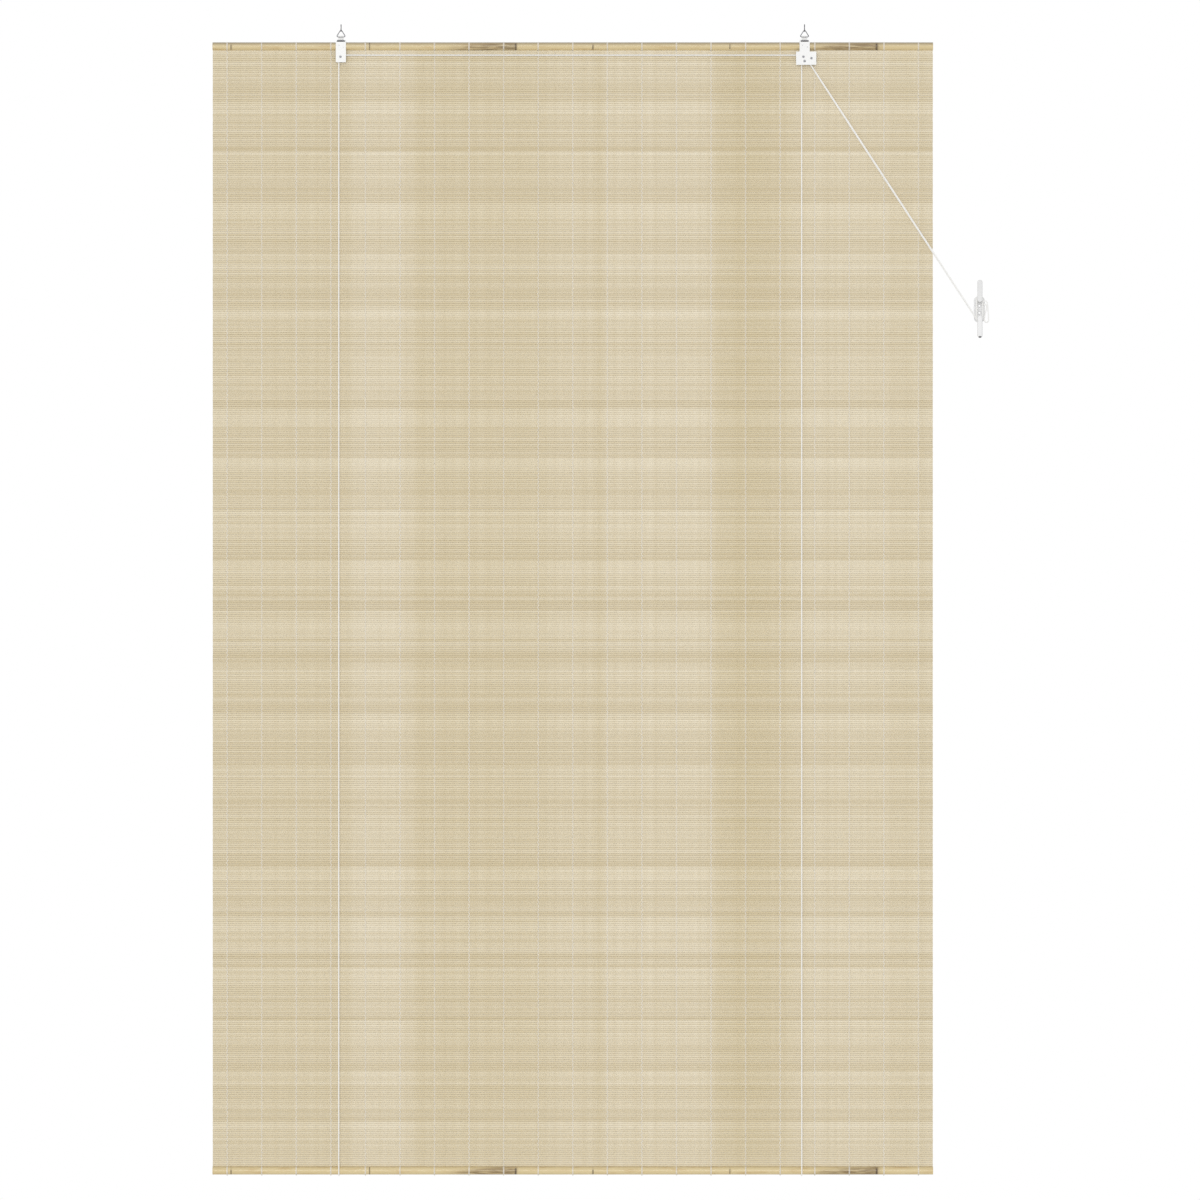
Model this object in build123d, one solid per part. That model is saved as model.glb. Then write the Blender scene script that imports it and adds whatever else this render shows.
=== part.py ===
"""Bamboo roll up blind with its pulley bracket, cord lock, hanging hooks, cords and wall cleat.

Lengths in mm. X to the right, Y to the wall, Z up. The origin is midway between the two hooks,
on the line of the rods that they hang from.
"""
import math
import os

from build123d import *

# Blind as a whole
blind_width = 1400.0
blind_height = 2200.0
bracket_x = 450.4
seat_gap = 0.2
fit_gap = 0.3

# Bamboo slats
slat_height = 15.0
slat_edge = 3.0
slat_bulge = 6.0
slat_node_places = (-663.0, -394.0, -110.0, 40.0, 306.0, 591.0)
slat_node_width = 3.0
slat_node_rise = 0.5

# Reed mat
reed_pitch = 4.0
reed_crest = 2.4
reed_valley = 0.9
gap_every = 5
gap_height = 0.5
gap_margin = 10.0

# Warp threads
warp_count = 21
warp_pitch = 67.16
warp_width = 2.4
warp_thick = 0.5
warp_clear = 0.05

# Wire triangles and hooks
triangle_wire_r = 0.8
triangle_half_width = 9.0
triangle_height = 14.4
triangle_corner_r = 1.6
triangle_apex_r = 2.0
hook_wire_r = 0.9
hook_loop_r = 2.6
hook_shank = 7.9
hook_seat = 0.35
hook_mouth_deg = 205.0
hook_curl_deg = 240.0

# Bracket plates
plate_thick = 1.0
plate_width = 19.8
plate_over = 0.6
plate_corner_r = 1.0
left_plate_drop = 39.3
tab_drop = 18.4
body_left = 16.7
body_right = 22.6
body_drop = 44.2
ear_inset = 1.3
ear_thick = 1.0
ear_rise = 5.1
slat_pin_r = 1.6
slat_pin_rise = 2.7
slat_pin_y = -3.6
slat_pin_over = 0.3
ear_wall = 0.8
tongue_width = 11.2
tongue_shoulder = 2.0
base_wire_rise = 10.9
lip_depth = 8.0
lip_width = 12.0
lip_hole_r = 1.3

# Rivets and nails
rivet_r = 1.25
rivet_head_r = 2.2
rivet_head_h = 0.8
rivet_head_round = 0.5
rivet_tail_r = 1.9
rivet_tail_h = 0.6
rivet_slip = 0.02
window_side = 3.2
nail_places = ((-3.9, 6.1), (5.1, 9.5))
nail_r = 0.6
nail_head_r = 0.95
nail_head_h = 0.35
nail_depth = 5.0

# Rollers and pawl, as drops below the slat's top edge
cord_r = 1.0
cord_apart = 2.1
wrap_r = 3.2
roller_slip = 0.05
roller_flange_r = 4.2
roller_flange = 0.5
roller_side = 0.3
left_roller_x = -451.2
right_roller_x = 448.0
roller_drop = 28.4
lock_roller_x = 450.3
lock_roller_drop = 36.9
lock_roller_r = 4.2
pawl_x = 463.5
pawl_drop = 31.3
pawl_hub_r = 3.0
pawl_lean_deg = 40.0
pawl_teeth = 4
pawl_tooth_deg = 9.0
pawl_tooth_depth = 0.8
pawl_root_share = 0.55
pawl_tail_length = 7.6
pawl_tail_height = 6.0

# Cords
cord_start_drop = 4.0
cord_low_gap = 0.3
cord_front_round = 8.5
cord_back_round = 2.0
knot_r = 2.6
knot_h = 4.6
knot_round = 1.4

# Cleat
cleat_x = 790.5
cleat_drop = 518.3
cleat_wall_y = 9.6
cleat_base_width = 21.0
cleat_base_height = 50.0
cleat_base_thick = 3.6
cleat_base_round = 8.0
cleat_edge_round = 0.8
cleat_post_r = 4.4
cleat_horn_half = 5.0
cleat_post_share = 0.6
cleat_post_apart = 36.0
cleat_horn_reach = 38.5
cleat_horn_thick = 6.0
cleat_horn_round = 1.8
cleat_horn_tilt_deg = 3.0
cleat_horn_space = 1.2
cleat_screw_apart = 13.6
cleat_screw_r = 2.1
cleat_sink_r = 3.6
cleat_sink_depth = 1.6
cleat_pocket_r = 1.7
cleat_pocket_depth = 7.0
turn_r = 5.8
turn_wall = 2.2
bight_route = ((6.0, 13.0), (16.8, -9.0), (16.3, -27.2), (10.2, -26.6), (9.6, -8.0), (6.0, 4.0))
bight_radii = (22.0, 3.0, 3.0, 14.0)

# Heights and depths that follow from these
apex_half = math.atan2(triangle_half_width, triangle_height)
apex_drop = triangle_apex_r / math.sin(apex_half) - triangle_apex_r
apex_rise = base_wire_rise + triangle_height - apex_drop
loop_rise = apex_rise + hook_loop_r - hook_wire_r - triangle_wire_r - hook_seat
slat_top = -(loop_rise + hook_shank)
base_wire_z = slat_top + base_wire_rise
apex_z = slat_top + apex_rise
back_plate_y = triangle_wire_r + fit_gap
mat_y = back_plate_y - seat_gap - warp_thick - warp_clear - reed_crest / 2
mat_top = slat_top - slat_height
mat_bottom = slat_top - blind_height + slat_height
slat_back_y = mat_y + slat_edge / 2
slat_edge_y = mat_y - slat_edge / 2
slat_front_y = slat_edge_y - slat_bulge
slat_r = ((slat_height / 2) ** 2 + slat_bulge ** 2) / (2 * slat_bulge)
plate_back_y = slat_front_y - seat_gap
plate_front_y = plate_back_y - plate_thick
warp_front_y = mat_y - reed_crest / 2 - warp_clear - warp_thick
roller_front_y = plate_back_y + roller_side
roller_back_y = warp_front_y - roller_side
roller_mid_y = (roller_front_y + roller_back_y) / 2
roller_width = roller_back_y - roller_front_y
cord_front_y = roller_mid_y - cord_apart / 2
cord_back_y = roller_mid_y + cord_apart / 2
drum_r = wrap_r - cord_r - fit_gap
roller_z = slat_top - roller_drop
lock_roller_z = slat_top - lock_roller_drop
pawl_z = slat_top - pawl_drop
cleat_z = slat_top - cleat_drop
warp_places = [(k - (warp_count - 1) / 2) * warp_pitch for k in range(warp_count)]


def rod_y(x, z, y0, y1, r):
    """Cylinder along Y between y0 and y1."""
    return Pos(x, (y0 + y1) / 2, z) * Rot(90, 0, 0) * Cylinder(r, abs(y1 - y0))


def block(x0, x1, y0, y1, z0, z1):
    """Box between two corners."""
    return Pos((x0 + x1) / 2, (y0 + y1) / 2, (z0 + z1) / 2) * Box(x1 - x0, y1 - y0, z1 - z0)


def tube(path, r):
    """Round bar along a path."""
    return sweep(Plane(origin=path @ 0, z_dir=path % 0) * Circle(r), path=path)


def across(face, width, x=0.0):
    """Section in the YZ plane, extruded along X about x."""
    return extrude(Plane.YZ.offset(x - width / 2) * face, width)


def facing(face, y0, y1):
    """Outline in the XZ plane, extruded along Y from y0 to y1."""
    return extrude(Plane.XZ.offset(-y1) * face, y1 - y0)


# Slats
def slat_section(middle_z, rise=0.0):
    """Split bamboo: flat back, flat edges, round front."""
    half = slat_height / 2
    front = slat_front_y - rise
    edge = slat_edge_y - rise
    outline = Polyline(
        (edge, middle_z + half),
        (slat_back_y, middle_z + half),
        (slat_back_y, middle_z - half),
        (edge, middle_z - half),
    )
    arc = ThreePointArc((edge, middle_z - half), (front, middle_z), (edge, middle_z + half))
    return make_face(outline + arc)


def slat(middle_z):
    body = across(slat_section(middle_z), blind_width)
    for place in slat_node_places:
        body += across(slat_section(middle_z, slat_node_rise), slat_node_width, place)
    return body


def bindings(middle_z):
    """Threads over the front of a slat, one at each warp."""
    half = slat_height / 2
    center = (slat_front_y + slat_r, middle_z)
    ring = Pos(*center) * (Circle(slat_r + warp_thick) - Circle(slat_r))
    reach = slat_r + warp_thick
    keep = Pos(slat_edge_y - reach / 2, middle_z) * Rectangle(reach, 2 * half)
    band = ring & keep
    return Compound([across(band, warp_width, place).solid() for place in warp_places])


head_middle = slat_top - slat_height / 2
bottom_middle = slat_top - blind_height + slat_height / 2
head_slat = slat(head_middle)
bottom_slat = slat(bottom_middle)
nail_spots = []
for side in (-bracket_x, bracket_x):
    for dx, drop in nail_places:
        nail_spots.append((side + dx, slat_top - drop))
for x, z in nail_spots:
    head_slat -= rod_y(x, z, plate_front_y, plate_back_y + nail_depth, nail_r)

# Reed mat
reed_count = round((mat_top - mat_bottom) / reed_pitch)
pitch = (mat_top - mat_bottom) / reed_count
front_line = []
back_line = []
for k in range(reed_count):
    valley_z = mat_top - k * pitch
    crest_z = valley_z - pitch / 2
    front_line.append((mat_y - reed_valley / 2, valley_z))
    front_line.append((mat_y - reed_crest / 2, crest_z))
    back_line.append((mat_y + reed_valley / 2, valley_z))
    back_line.append((mat_y + reed_crest / 2, crest_z))
front_line.append((mat_y - reed_valley / 2, mat_bottom))
back_line.append((mat_y + reed_valley / 2, mat_bottom))
ridges = make_face(Polyline(*front_line, *reversed(back_line), close=True))
reed_mat = across(ridges, blind_width)
rivet_spots = [
    (left_roller_x, roller_z),
    (right_roller_x, roller_z),
    (lock_roller_x, lock_roller_z),
    (pawl_x, pawl_z),
]
openings = []
gap_half = blind_width / 2 - gap_margin
for k in range(gap_every, reed_count, gap_every):
    z = mat_top - k * pitch
    low, high = z - gap_height / 2, z + gap_height / 2
    openings.append(block(-gap_half, gap_half, mat_y - reed_crest, mat_y + reed_crest, low, high))
for x, z in rivet_spots:
    half = window_side / 2
    openings.append(block(x - half, x + half, mat_y - reed_crest, mat_y + reed_crest, z - half, z + half))
reed_mat -= openings

# Warp threads
strips = []
for place in warp_places:
    x0 = place - warp_width / 2
    x1 = place + warp_width / 2
    strips.append(block(x0, x1, warp_front_y, warp_front_y + warp_thick, mat_bottom, mat_top).solid())
    back = mat_y + reed_crest / 2 + warp_clear
    strips.append(block(x0, x1, back, back + warp_thick, mat_bottom, mat_top).solid())
warp_threads = Compound(strips)
head_bindings = bindings(head_middle)
bottom_bindings = bindings(bottom_middle)


# Bracket plates
def ears(x):
    """Two ears bent back from a front plate's top edge, for the slat pin."""
    deep = slat_pin_y + slat_pin_r + ear_wall
    inner = plate_width / 2 - ear_inset - ear_thick
    pair = []
    for side in (-1, 1):
        x0 = x + side * inner
        x1 = x + side * (inner + ear_thick)
        low, high = slat_top + fit_gap, slat_top + ear_rise
        pair.append(block(min(x0, x1), max(x0, x1), plate_front_y, deep, low, high))
    return pair


def pin_at(x, r, over):
    reach = 2 * (plate_width / 2 - ear_inset + over)
    return Pos(x, slat_pin_y, slat_top + slat_pin_rise) * Rot(0, 90, 0) * Cylinder(r, reach)


def front_plate(x, outline):
    plate = facing(outline, plate_front_y, plate_back_y)
    plate += ears(x)
    plate -= pin_at(x, slat_pin_r + rivet_slip, plate_thick)
    for spot_x, spot_z in rivet_spots:
        plate -= rod_y(spot_x, spot_z, plate_front_y, plate_back_y, rivet_r + rivet_slip)
    for spot_x, spot_z in nail_spots:
        plate -= rod_y(spot_x, spot_z, plate_front_y, plate_back_y, nail_r + rivet_slip)
    return plate


def back_plate(x, outline, lip_z, cord_x):
    """Plate behind the mat, its tongue curled over the triangle's wire and its lip for the lift cord."""
    plate = facing(outline, back_plate_y, back_plate_y + plate_thick)
    half = tongue_width / 2
    plate += block(x - half, x + half, back_plate_y, back_plate_y + plate_thick, slat_top, base_wire_z)
    outer = back_plate_y + plate_thick
    curl = Circle(outer) - Circle(back_plate_y)
    curl &= Pos(0, outer / 2) * Rectangle(2 * outer, outer)
    plate += across(Pos(0, base_wire_z) * curl, tongue_width, x)
    lip_half = lip_width / 2
    lip_end = back_plate_y + lip_depth
    lip = block(cord_x - lip_half, cord_x + lip_half, back_plate_y, lip_end, lip_z, lip_z + plate_thick)
    lip = fillet(lip.edges().filter_by(Axis.Z).group_by(Axis.Y)[-1], plate_corner_r)
    plate += lip
    plate -= Pos(cord_x, lip_y, lip_z + plate_thick / 2) * Cylinder(lip_hole_r, 2 * plate_thick)
    for spot_x, spot_z in rivet_spots:
        plate -= rod_y(spot_x, spot_z, back_plate_y, outer, rivet_r + rivet_slip)
    return plate


def panel(x0, x1, z0, z1):
    return Pos((x0 + x1) / 2, (z0 + z1) / 2) * Rectangle(x1 - x0, z1 - z0)


lip_y = back_plate_y + lip_depth / 2
left_cord_x = left_roller_x - wrap_r
right_cord_x = right_roller_x - wrap_r
half_plate = plate_width / 2
left_low = slat_top - left_plate_drop
right_low = slat_top - body_drop
left_outline = panel(-bracket_x - half_plate, -bracket_x + half_plate, left_low, slat_top + plate_over)
left_outline = fillet(left_outline.vertices(), plate_corner_r)
right_outline = panel(bracket_x - half_plate, bracket_x + half_plate, right_low, slat_top + plate_over)
right_outline += panel(bracket_x - body_left, bracket_x + body_right, right_low, slat_top - tab_drop)
right_outline = fillet(right_outline.vertices(), plate_corner_r)
shoulder_z = slat_top + tongue_shoulder
left_back_outline = panel(-bracket_x - half_plate, -bracket_x + half_plate, left_low, shoulder_z)
left_back_outline = fillet(left_back_outline.vertices(), plate_corner_r)
right_back_outline = panel(bracket_x - half_plate, bracket_x + half_plate, right_low, shoulder_z)
right_back_outline += panel(bracket_x - body_left, bracket_x + body_right, right_low, slat_top - tab_drop)
right_back_outline = fillet(right_back_outline.vertices(), plate_corner_r)
left_front_plate = front_plate(-bracket_x, left_outline)
right_front_plate = front_plate(bracket_x, right_outline)
left_back_plate = back_plate(-bracket_x, left_back_outline, left_low, left_cord_x)
right_back_plate = back_plate(bracket_x, right_back_outline, right_low, right_cord_x)
left_slat_pin = pin_at(-bracket_x, slat_pin_r, slat_pin_over)
right_slat_pin = pin_at(bracket_x, slat_pin_r, slat_pin_over)


# Rivets and nails
def rivet(x, z):
    back = back_plate_y + plate_thick
    head = rod_y(x, z, plate_front_y - rivet_head_h, plate_front_y, rivet_head_r)
    head = fillet(head.edges().group_by(Axis.Y)[0], rivet_head_round)
    tail = rod_y(x, z, back, back + rivet_tail_h, rivet_tail_r)
    return (head + rod_y(x, z, plate_front_y, back, rivet_r) + tail).solid()


def nail(x, z):
    head = rod_y(x, z, plate_front_y - nail_head_h, plate_front_y, nail_head_r)
    return (head + rod_y(x, z, plate_front_y, plate_back_y + nail_depth, nail_r)).solid()


rivets = Compound([rivet(x, z) for x, z in rivet_spots])
bracket_nails = Compound([nail(x, z) for x, z in nail_spots])


# Rollers
def cord_roller(x, z):
    body = rod_y(x, z, roller_front_y, roller_back_y, drum_r)
    body += rod_y(x, z, roller_front_y, roller_front_y + roller_flange, roller_flange_r)
    body += rod_y(x, z, roller_back_y - roller_flange, roller_back_y, roller_flange_r)
    return body - rod_y(x, z, roller_front_y, roller_back_y, rivet_r + roller_slip)


left_roller = cord_roller(left_roller_x, roller_z)
right_roller = cord_roller(right_roller_x, roller_z)
lock_roller = rod_y(lock_roller_x, lock_roller_z, roller_front_y, roller_back_y, lock_roller_r)
lock_roller -= rod_y(lock_roller_x, lock_roller_z, roller_front_y, roller_back_y, rivet_r + roller_slip)

# Line of the pull cords: it leaves the right roller's upper right side and goes under the cleat's lower post
post_low_z = cleat_z - cleat_post_apart / 2
span_x = cleat_x - right_roller_x
span_z = roller_z - post_low_z
span = math.hypot(span_x, span_z)
pull_angle = math.atan2(span_x, span_z) - math.asin((wrap_r + turn_r) / span)
along = Vector(math.sin(pull_angle), 0, -math.cos(pull_angle))
aside = Vector(math.cos(pull_angle), 0, math.sin(pull_angle))
leave_x = right_roller_x + wrap_r * aside.X
leave_z = roller_z + wrap_r * aside.Z
reach_x = cleat_x - turn_r * aside.X
reach_z = post_low_z - turn_r * aside.Z

# Pawl
pawl_to_cord = (pawl_x - leave_x) * aside.X + (pawl_z - leave_z) * aside.Z
pawl_reach = (pawl_to_cord - cord_r - fit_gap) / math.cos(math.radians(pawl_lean_deg))
nose_deg = math.degrees(math.atan2(-aside.Z, -aside.X)) % 360 + pawl_lean_deg


def pawl_point(radius, degrees):
    turn = math.radians(degrees)
    return (pawl_x + radius * math.cos(turn), pawl_z + radius * math.sin(turn))


teeth = [(pawl_x, pawl_z)]
for k in range(pawl_teeth):
    teeth.append(pawl_point(pawl_reach, nose_deg + k * pawl_tooth_deg))
    teeth.append(pawl_point(pawl_reach - pawl_tooth_depth, nose_deg + (k + pawl_root_share) * pawl_tooth_deg))
pawl_face = make_face(Polyline(*teeth, close=True)) + Pos(pawl_x, pawl_z) * Circle(pawl_hub_r)
tail_low, tail_high = pawl_z - pawl_tail_height / 2, pawl_z + pawl_tail_height / 2
pawl_face += panel(pawl_x, pawl_x + pawl_tail_length, tail_low, tail_high)
lock_pawl = facing(pawl_face, roller_front_y, roller_back_y)
lock_pawl -= rod_y(pawl_x, pawl_z, roller_front_y, roller_back_y, rivet_r + roller_slip)


# Triangles and hooks
def triangle(x):
    high = base_wire_z + triangle_height
    route = FilletPolyline(
        (0, base_wire_z),
        (triangle_half_width, base_wire_z),
        (0, high),
        (-triangle_half_width, base_wire_z),
        (0, base_wire_z),
        radius=[0, triangle_corner_r, triangle_apex_r, triangle_corner_r],
        close=True,
    )
    return Pos(x, 0, 0) * tube(Plane.XZ * route, triangle_wire_r)


def hook(x):
    loop_z = slat_top + loop_rise
    mouth = CenterArc((0, 0), hook_loop_r, hook_mouth_deg, -hook_mouth_deg)
    shank = Line((hook_loop_r, 0), (hook_loop_r, loop_z))
    curl = CenterArc((0, loop_z), hook_loop_r, 0, -hook_curl_deg)
    route = Wire([mouth, shank, curl])
    return Pos(x, 0, 0) * tube(Plane.YZ * route, hook_wire_r)


left_triangle = triangle(-bracket_x)
right_triangle = triangle(bracket_x)
left_hook = hook(-bracket_x)
right_hook = hook(bracket_x)


# Lift cords: down the front, under the bottom slat and up the back to a knot on the back plate's lip
def lift_cord(x, y, lip_z):
    off = cord_r + fit_gap
    low_z = slat_top - blind_height - cord_r - cord_low_gap
    route = FilletPolyline(
        (y, roller_z - cord_start_drop),
        (slat_front_y - off, low_z),
        (slat_back_y + off + seat_gap, low_z),
        (lip_y, lip_z + plate_thick),
        radius=[cord_front_round, cord_back_round],
    )
    print("lift cord radii", cord_front_round, cord_back_round)
    return tube(Plane.YZ.offset(x) * route, cord_r)


left_lift_cord = lift_cord(left_cord_x, cord_front_y, left_low)
right_lift_cord = lift_cord(right_cord_x, cord_back_y, right_low)
knots = []
for x, lip_z in ((left_cord_x, left_low), (right_cord_x, right_low)):
    knot = Pos(x, lip_y, lip_z + plate_thick + knot_h / 2) * Cylinder(knot_r, knot_h)
    knot = fillet(knot.edges().filter_by(GeomType.CIRCLE), knot_round)
    knots.append(knot.solid())
cord_knots = Compound(knots)


# Pull cords: over the rollers and down to the cleat
def stadium(r, y0, y1):
    """Round-ended block about both of the cleat's posts."""
    half = cleat_post_apart / 2
    outline = panel(cleat_x - r, cleat_x + r, cleat_z - half, cleat_z + half)
    outline += Pos(cleat_x, cleat_z + half) * Circle(r)
    outline += Pos(cleat_x, cleat_z - half) * Circle(r)
    return facing(outline, y0, y1)


turns_front_y = cord_front_y - cord_apart - cord_r
turns_back_y = cord_back_y + cord_apart + cord_r
turns_outer = stadium(turn_r + turn_wall / 2, turns_front_y, turns_back_y)
cord_turns = turns_outer - stadium(turn_r - turn_wall / 2, turns_front_y, turns_back_y)
aside_deg = math.degrees(pull_angle)
right_deg = 90.0
left_deg = 180.0
start_z = roller_z - cord_start_drop
left_path = Wire([
    Line((left_cord_x, start_z), (left_cord_x, roller_z)),
    CenterArc((left_roller_x, roller_z), wrap_r, left_deg, -right_deg),
    Line((left_roller_x, roller_z + wrap_r), (right_roller_x, roller_z + wrap_r)),
    CenterArc((right_roller_x, roller_z), wrap_r, right_deg, aside_deg - right_deg),
    Line((leave_x, leave_z), (reach_x, reach_z)),
])
right_path = Wire([
    Line((right_cord_x, start_z), (right_cord_x, roller_z)),
    CenterArc((right_roller_x, roller_z), wrap_r, left_deg, aside_deg - left_deg),
    Line((leave_x, leave_z), (reach_x, reach_z)),
])
left_pull_cord = tube(Plane.XZ.offset(-cord_front_y) * left_path, cord_r) - turns_outer
right_pull_cord = tube(Plane.XZ.offset(-cord_back_y) * right_path, cord_r) - turns_outer
print("pull cord radius", wrap_r)
bight_points = [(cleat_x + dx, cleat_z + dz) for dx, dz in bight_route]
bight = FilletPolyline(*bight_points, radius=list(bight_radii))
cord_bight = tube(Plane.XZ.offset(-roller_mid_y) * bight, cord_r) - turns_outer
print("bight radii", bight_radii)

# Cleat
base_front_y = cleat_wall_y - cleat_base_thick
horn_back_y = turns_front_y - cleat_horn_space
base_outline = Pos(cleat_x, cleat_z) * RectangleRounded(cleat_base_width, cleat_base_height, cleat_base_round)
cleat = facing(base_outline, base_front_y, cleat_wall_y)
cleat = fillet(cleat.faces().sort_by(Axis.Y)[0].edges(), cleat_edge_round)
for side in (-1, 1):
    post_z = cleat_z + side * cleat_post_apart / 2
    post_end_y = horn_back_y - cleat_post_share * cleat_horn_thick
    cleat += rod_y(cleat_x, post_z, base_front_y, post_end_y, cleat_post_r)
    outline = SlotCenterToCenter(cleat_horn_reach - cleat_horn_half, 2 * cleat_horn_half, rotation=90)
    horn = facing(Pos(0, (cleat_horn_reach - cleat_horn_half) / 2) * outline, -cleat_horn_thick, 0)
    horn = fillet(horn.faces().filter_by(Axis.Y).edges(), cleat_horn_round)
    tip = cleat_horn_reach
    pocket = Cylinder(cleat_pocket_r, cleat_pocket_depth)
    horn -= Pos(0, -cleat_horn_thick / 2, tip - cleat_pocket_depth / 2) * pocket
    turn = 0 if side > 0 else 180
    lean = cleat_horn_tilt_deg
    cleat += Pos(cleat_x, horn_back_y, post_z) * Rot(0, turn, 0) * Rot(lean, 0, 0) * horn
    screw_z = cleat_z + side * cleat_screw_apart / 2
    cleat -= rod_y(cleat_x, screw_z, base_front_y, cleat_wall_y, cleat_screw_r)
    sink_y = base_front_y + cleat_sink_depth / 2
    sink = Cone(cleat_screw_r, cleat_sink_r, cleat_sink_depth)
    cleat -= Pos(cleat_x, sink_y, screw_z) * Rot(90, 0, 0) * sink

# Hand-over
os.makedirs("parts", exist_ok=True)
nodes = {
    "head_slat": head_slat,
    "bottom_slat": bottom_slat,
    "reed_mat": reed_mat,
    "warp_threads": warp_threads,
    "head_bindings": head_bindings,
    "bottom_bindings": bottom_bindings,
    "left_front_plate": left_front_plate,
    "left_back_plate": left_back_plate,
    "right_front_plate": right_front_plate,
    "right_back_plate": right_back_plate,
    "left_slat_pin": left_slat_pin,
    "right_slat_pin": right_slat_pin,
    "rivets": rivets,
    "bracket_nails": bracket_nails,
    "left_roller": left_roller,
    "right_roller": right_roller,
    "lock_roller": lock_roller,
    "lock_pawl": lock_pawl,
    "left_triangle": left_triangle,
    "right_triangle": right_triangle,
    "left_hook": left_hook,
    "right_hook": right_hook,
    "left_lift_cord": left_lift_cord,
    "right_lift_cord": right_lift_cord,
    "left_pull_cord": left_pull_cord,
    "right_pull_cord": right_pull_cord,
    "cord_turns": cord_turns,
    "cord_bight": cord_bight,
    "cord_knots": cord_knots,
    "cleat": cleat,
}
for name, shape in nodes.items():
    export_step(shape, f"parts/{name}.step")
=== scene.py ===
"""Bamboo roll up blind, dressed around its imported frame. Metres, X right, Y to the wall, Z up."""
import math
import random

import bpy
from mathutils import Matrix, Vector


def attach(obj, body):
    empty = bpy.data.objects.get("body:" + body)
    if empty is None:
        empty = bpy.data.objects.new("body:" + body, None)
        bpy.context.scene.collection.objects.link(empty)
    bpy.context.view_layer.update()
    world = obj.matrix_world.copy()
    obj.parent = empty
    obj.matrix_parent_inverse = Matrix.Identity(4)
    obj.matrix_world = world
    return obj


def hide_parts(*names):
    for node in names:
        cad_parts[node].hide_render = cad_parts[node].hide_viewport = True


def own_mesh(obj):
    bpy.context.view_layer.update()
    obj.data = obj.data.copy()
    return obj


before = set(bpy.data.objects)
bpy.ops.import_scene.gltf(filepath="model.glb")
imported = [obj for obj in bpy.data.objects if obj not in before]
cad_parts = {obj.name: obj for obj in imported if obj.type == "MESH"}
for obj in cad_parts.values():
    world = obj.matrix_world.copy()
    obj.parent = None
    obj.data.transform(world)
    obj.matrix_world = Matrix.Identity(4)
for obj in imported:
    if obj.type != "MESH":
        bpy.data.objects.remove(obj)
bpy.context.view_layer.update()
bpy.context.scene.view_settings.view_transform = "Standard"

# Head slat and bottom slat
# Half-round splits of one bamboo culm, planed flat behind, the first and last members of the weave.
# Straw yellow with long fibres, a raised ring at each of the culm's nodes and two browned stretches; painted
# shade darkens each slat towards its top edge, the head slat most.
BLIND_HALF = 0.700
SLAT_TOP = -0.031976
SLAT_HEIGHT = 0.015
BLIND_HEIGHT = 2.200
BLIND_LOW = SLAT_TOP - BLIND_HEIGHT
SLAT_BACK_Y = 0.00065
SLAT_EDGE_Y = -0.00235
SLAT_BULGE = 0.006
SLAT_ROUND = ((SLAT_HEIGHT / 2) ** 2 + SLAT_BULGE ** 2) / (2 * SLAT_BULGE)
SLAT_AXIS_Y = SLAT_EDGE_Y - SLAT_BULGE + SLAT_ROUND
# Each of the culm's nodes: its place, the dark mark's ends as shares of the height, and the mark's breadth.
CULM_NODES = ((-0.663, 0.05, 0.62, 1.0), (-0.394, 0.0, 1.0, 0.8), (-0.110, 0.0, 0.85, 2.0),
              (0.040, 0.05, 0.60, 1.1), (0.306, 0.10, 0.75, 0.8), (0.591, 0.0, 0.85, 2.0))
NODE_STATIONS = (-0.0040, -0.0026, -0.0016, -0.0008, 0.0, 0.0008, 0.0016, 0.0026, 0.0034, 0.0044)
NODE_RIDGE = 0.00045
NODE_RIDGE_WIDE = 0.0014
NODE_GROOVE = 0.00020
NODE_GROOVE_WIDE = 0.0007
NODE_GROOVE_ASIDE = 0.0022
NODE_MARK_WIDE = 0.0011
NODE_MARK_ASIDE = 0.0008
SLAT_STATIONS = 200
SLAT_WAVE = 0.00018
SLAT_INSET = 0.0002
SLAT_LIP_Y = -0.0009
SLAT_LIP_ROUND = 0.0003
SLAT_CREST = 0.0070
BACK_HALF = 0.0072
BACK_HOLLOW = 0.0007
BROWNED = ((-0.226, -0.112), (0.476, 0.594))
BROWN_FADE_IN = 0.012
BROWN_FADE_OUT = 0.002
BROWN_LOW_SHARE = 0.50
BROWN_GROWTH_SHARE = 0.70
BROWN_EDGE_SHARE = 0.10
TOP_SHADE_START_SHARE = 0.30


def shade(mesh):
    """Smooth sides, with a sharp edge round each end face."""
    mesh.polygons.foreach_set("use_smooth", [len(face.vertices) < 5 for face in mesh.polygons])
    sharp = [False] * len(mesh.edges)
    for face in mesh.polygons:
        if len(face.vertices) > 4:
            for corner in face.loop_indices:
                sharp[mesh.loops[corner].edge_index] = True
    edges = mesh.attributes.get("sharp_edge") or mesh.attributes.new("sharp_edge", "BOOLEAN", "EDGE")
    edges.data.foreach_set("value", sharp)


def new_piece(name, verts, faces, finish):
    """Plain mesh object from lists, at the origin, in one finish."""
    mesh = bpy.data.meshes.new(name)
    mesh.from_pydata(verts, [], faces)
    mesh.validate()
    mesh.update()
    shade(mesh)
    mesh.materials.append(finish)
    piece = bpy.data.objects.new(name, mesh)
    bpy.context.collection.objects.link(piece)
    return piece


def new_finish(name, color, roughness):
    """Material with its Principled shader, ready for nodes."""
    finish = bpy.data.materials.new(name)
    finish.use_nodes = True
    shader = finish.node_tree.nodes["Principled BSDF"]
    shader.inputs["Base Color"].default_value = (*color, 1)
    shader.inputs["Roughness"].default_value = roughness
    return finish, finish.node_tree, shader


def add_node(tree, kind, **values):
    """Node with its settings and the default values of its inputs."""
    node = tree.nodes.new(kind)
    for key, value in values.items():
        if key in node.inputs.keys():
            node.inputs[key].default_value = value
        else:
            setattr(node, key, value)
    return node


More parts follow.
